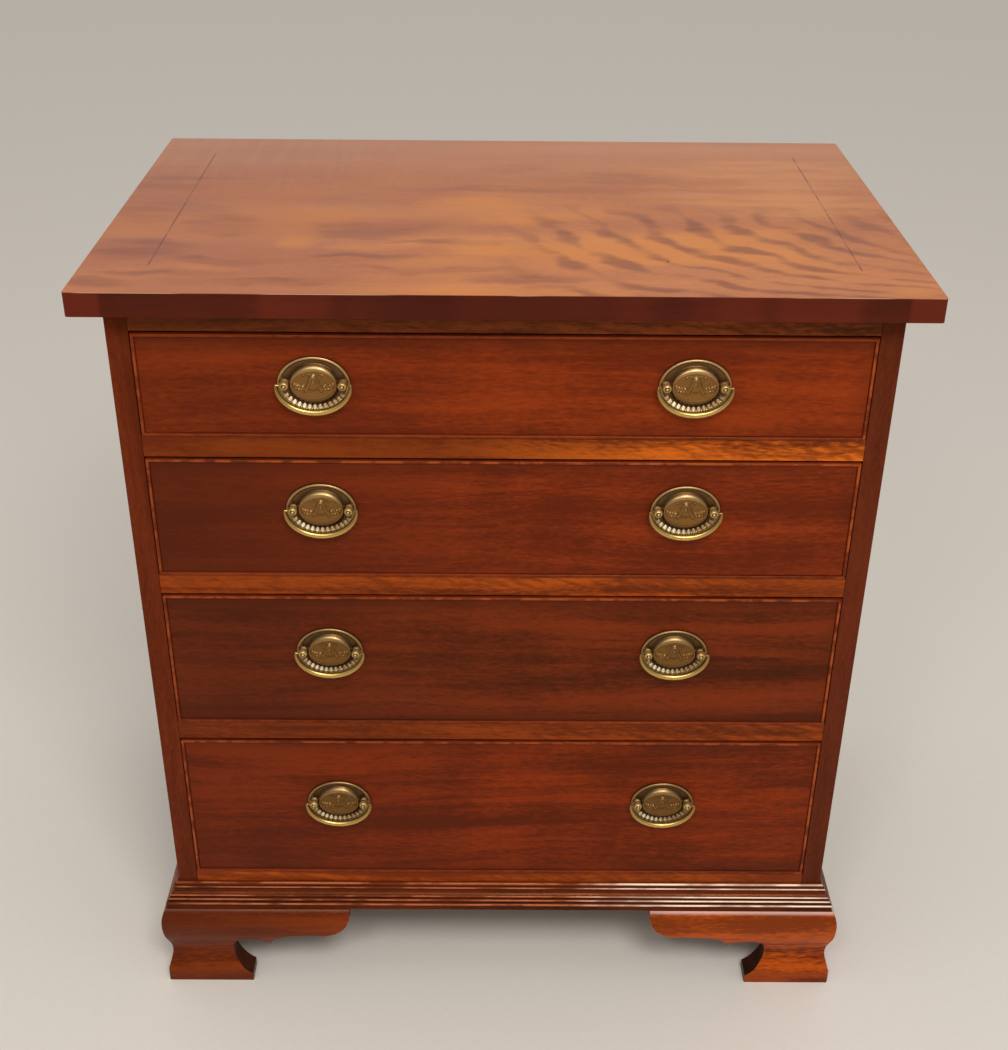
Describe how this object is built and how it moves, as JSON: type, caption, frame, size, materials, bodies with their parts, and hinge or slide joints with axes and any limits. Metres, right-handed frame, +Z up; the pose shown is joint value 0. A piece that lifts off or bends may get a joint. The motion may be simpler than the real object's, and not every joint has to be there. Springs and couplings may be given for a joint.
{
  "type": "bachelors chest",
  "caption": "Small chest of drawers with graduated full-width cockbeaded drawers, oval brass bail handles, reeded base moulding and ogee bracket feet.",
  "frame": {"origin": "on the floor, under the middle of the chest's bounding box", "axes": "+Z up, +Y towards the back of the chest, +X to the right when facing the drawers"},
  "size_m": [0.74, 0.478, 0.807],
  "materials": {
    "top_mahogany": "figured orange brown mahogany, polished, semi-gloss",
    "side_mahogany": "red brown mahogany, waxed satin",
    "drawer_mahogany": "deep red brown mahogany, waxed satin",
    "rail_mahogany": "lighter golden brown mahogany, waxed satin",
    "cockbead_mahogany": "orange red mahogany bead, waxed",
    "moulding_mahogany": "red brown mahogany, reeded, polished on the high lines",
    "foot_mahogany": "red brown mahogany, waxed satin",
    "drawer_lining": "bare seasoned oak",
    "carcase_softwood": "bare aged pine",
    "plate_brass": "antiqued brass, dark in the hollows",
    "bail_brass": "antiqued brass, rubbed bright"
  },
  "bodies": {
    "case": {"top_board": "top_mahogany", "side_left": "side_mahogany", "side_right": "side_mahogany", "top_rail": "rail_mahogany", "divider_1": "rail_mahogany", "divider_2": "rail_mahogany", "divider_3": "rail_mahogany", "dust_board_1": "carcase_softwood", "dust_board_2": "carcase_softwood", "dust_board_3": "carcase_softwood", "bottom_rail": "rail_mahogany", "bottom_board": "carcase_softwood", "back_panel": "carcase_softwood", "base_moulding_front": "moulding_mahogany", "base_moulding_left": "moulding_mahogany", "base_moulding_right": "moulding_mahogany", "foot_front_left": "foot_mahogany", "foot_front_right": "foot_mahogany", "foot_rear_left": "foot_mahogany", "foot_rear_right": "foot_mahogany"},
    "drawer_1": {"drawer_1_front": "drawer_mahogany", "drawer_1_cockbead": "cockbead_mahogany", "drawer_1_side_left": "drawer_lining", "drawer_1_side_right": "drawer_lining", "drawer_1_back": "drawer_lining", "drawer_1_bottom": "drawer_lining", "handle_plate_1_left": "plate_brass", "handle_plate_1_right": "plate_brass"},
    "drawer_2": {"drawer_2_front": "drawer_mahogany", "drawer_2_cockbead": "cockbead_mahogany", "drawer_2_side_left": "drawer_lining", "drawer_2_side_right": "drawer_lining", "drawer_2_back": "drawer_lining", "drawer_2_bottom": "drawer_lining", "handle_plate_2_left": "plate_brass", "handle_plate_2_right": "plate_brass"},
    "drawer_3": {"drawer_3_front": "drawer_mahogany", "drawer_3_cockbead": "cockbead_mahogany", "drawer_3_side_left": "drawer_lining", "drawer_3_side_right": "drawer_lining", "drawer_3_back": "drawer_lining", "drawer_3_bottom": "drawer_lining", "handle_plate_3_left": "plate_brass", "handle_plate_3_right": "plate_brass"},
    "drawer_4": {"drawer_4_front": "drawer_mahogany", "drawer_4_cockbead": "cockbead_mahogany", "drawer_4_side_left": "drawer_lining", "drawer_4_side_right": "drawer_lining", "drawer_4_back": "drawer_lining", "drawer_4_bottom": "drawer_lining", "handle_plate_4_left": "plate_brass", "handle_plate_4_right": "plate_brass"},
    "bail_1_left": {"handle_bail_1_left": "bail_brass"},
    "bail_1_right": {"handle_bail_1_right": "bail_brass"},
    "bail_2_left": {"handle_bail_2_left": "bail_brass"},
    "bail_2_right": {"handle_bail_2_right": "bail_brass"},
    "bail_3_left": {"handle_bail_3_left": "bail_brass"},
    "bail_3_right": {"handle_bail_3_right": "bail_brass"},
    "bail_4_left": {"handle_bail_4_left": "bail_brass"},
    "bail_4_right": {"handle_bail_4_right": "bail_brass"}
  },
  "joints": [
    {"name": "drawer_1_slide", "type": "slide", "parent": "case", "child": "drawer_1", "axis": [0, -1, 0], "range_m": [0, 0.32]},
    {"name": "drawer_2_slide", "type": "slide", "parent": "case", "child": "drawer_2", "axis": [0, -1, 0], "range_m": [0, 0.32]},
    {"name": "drawer_3_slide", "type": "slide", "parent": "case", "child": "drawer_3", "axis": [0, -1, 0], "range_m": [0, 0.32]},
    {"name": "drawer_4_slide", "type": "slide", "parent": "case", "child": "drawer_4", "axis": [0, -1, 0], "range_m": [0, 0.32]},
    {"name": "bail_1_left_swing", "type": "hinge", "parent": "drawer_1", "child": "bail_1_left", "pos_m": [-0.1675, -0.2215, 0.71564], "axis": [-1, 0, 0], "range_deg": [-3, 183]},
    {"name": "bail_1_right_swing", "type": "hinge", "parent": "drawer_1", "child": "bail_1_right", "pos_m": [0.1675, -0.2215, 0.71564], "axis": [-1, 0, 0], "range_deg": [-3, 183]},
    {"name": "bail_2_left_swing", "type": "hinge", "parent": "drawer_2", "child": "bail_2_left", "pos_m": [-0.1675, -0.2215, 0.59026], "axis": [-1, 0, 0], "range_deg": [-3, 183]},
    {"name": "bail_2_right_swing", "type": "hinge", "parent": "drawer_2", "child": "bail_2_right", "pos_m": [0.1675, -0.2215, 0.59026], "axis": [-1, 0, 0], "range_deg": [-3, 183]},
    {"name": "bail_3_left_swing", "type": "hinge", "parent": "drawer_3", "child": "bail_3_left", "pos_m": [-0.1675, -0.2215, 0.43197], "axis": [-1, 0, 0], "range_deg": [-3, 183]},
    {"name": "bail_3_right_swing", "type": "hinge", "parent": "drawer_3", "child": "bail_3_right", "pos_m": [0.1675, -0.2215, 0.43197], "axis": [-1, 0, 0], "range_deg": [-3, 183]},
    {"name": "bail_4_left_swing", "type": "hinge", "parent": "drawer_4", "child": "bail_4_left", "pos_m": [-0.1675, -0.2215, 0.2428], "axis": [-1, 0, 0], "range_deg": [-3, 183]},
    {"name": "bail_4_right_swing", "type": "hinge", "parent": "drawer_4", "child": "bail_4_right", "pos_m": [0.1675, -0.2215, 0.2428], "axis": [-1, 0, 0], "range_deg": [-3, 183]}
  ]
}
